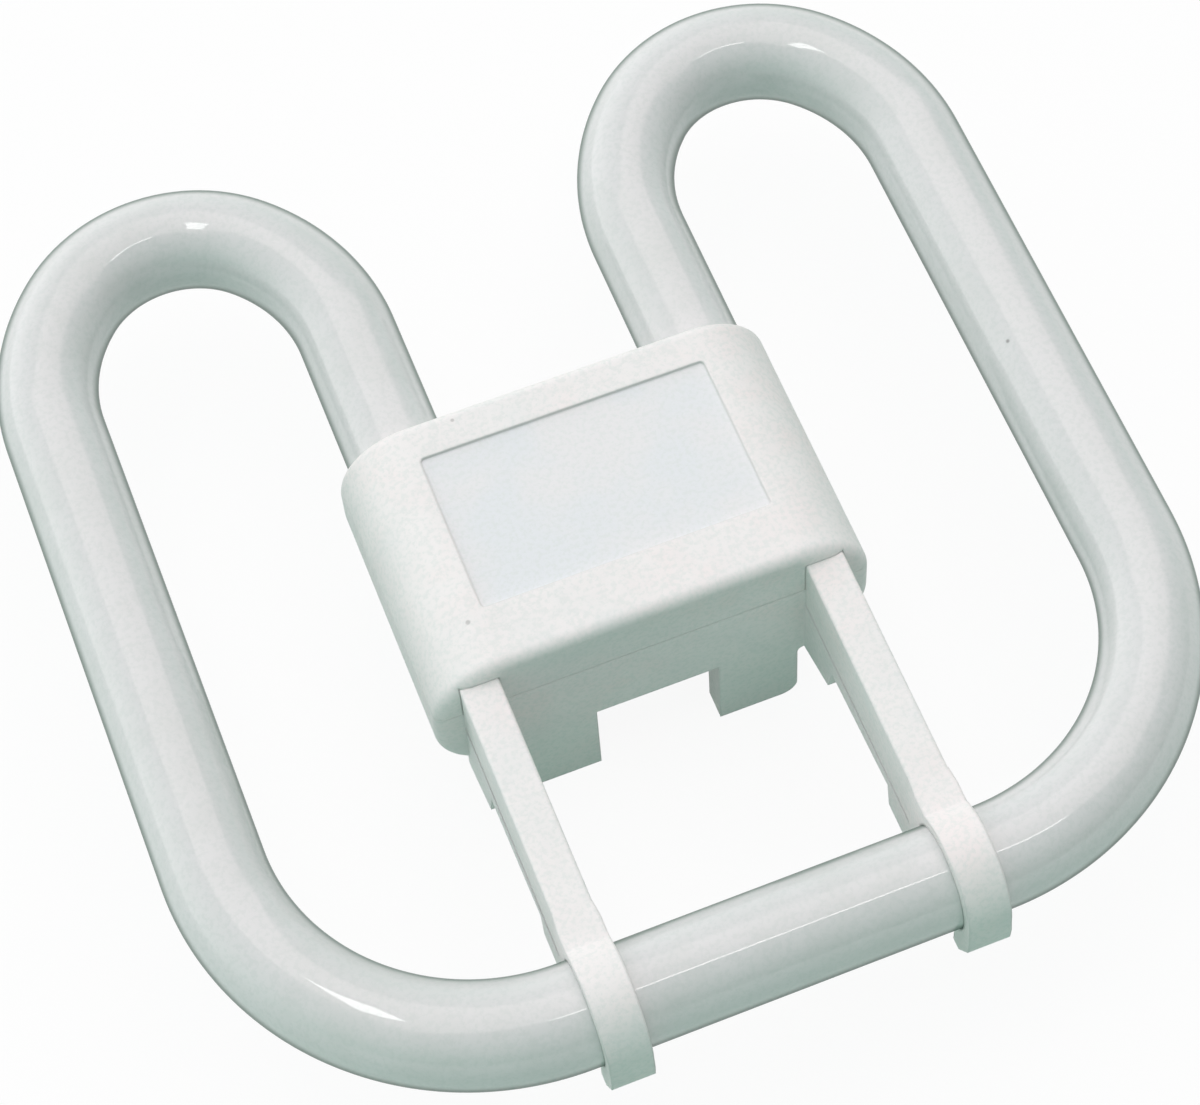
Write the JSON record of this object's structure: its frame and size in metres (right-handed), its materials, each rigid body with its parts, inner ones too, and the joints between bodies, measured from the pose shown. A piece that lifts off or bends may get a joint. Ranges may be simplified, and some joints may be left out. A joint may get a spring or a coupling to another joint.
{
  "type": "square compact fluorescent lamp",
  "caption": "Flat square compact fluorescent lamp: a looped white glass tube held by a moulded plug housing and its clip arms.",
  "frame": {"origin": "under the middle of the lamp's outer box, level with the ends of the plug skirt", "axes": "+X across the lamp, +Y from the bar of the tube to its lobes, +Z from the plug to the lit front"},
  "size_m": [0.138, 0.143, 0.036],
  "materials": {
    "coated_glass": "glossy glass, white phosphor coat inside, not see-through",
    "cover_plastic": "satin off-white moulding",
    "base_plastic": "satin off-white moulding",
    "contact_brass": "turned brass, bright",
    "cement": "set silicone cement, dull white",
    "starter_glass": "silvered glass, getter film inside",
    "capacitor_film": "dipped resin",
    "wire_insulation": "plain wire insulation"
  },
  "bodies": {
    "root": {"discharge_tube": "coated_glass", "front_cover": "cover_plastic", "rear_base": "base_plastic", "contact_pin_left": "contact_brass", "contact_pin_right": "contact_brass", "end_cement_left": "cement", "end_cement_right": "cement", "starter_bulb": "starter_glass", "suppression_capacitor": "capacitor_film", "pin_lead_left": "wire_insulation", "pin_lead_right": "wire_insulation", "starter_lead_left": "wire_insulation", "starter_lead_right": "wire_insulation"}
  },
  "joints": []
}
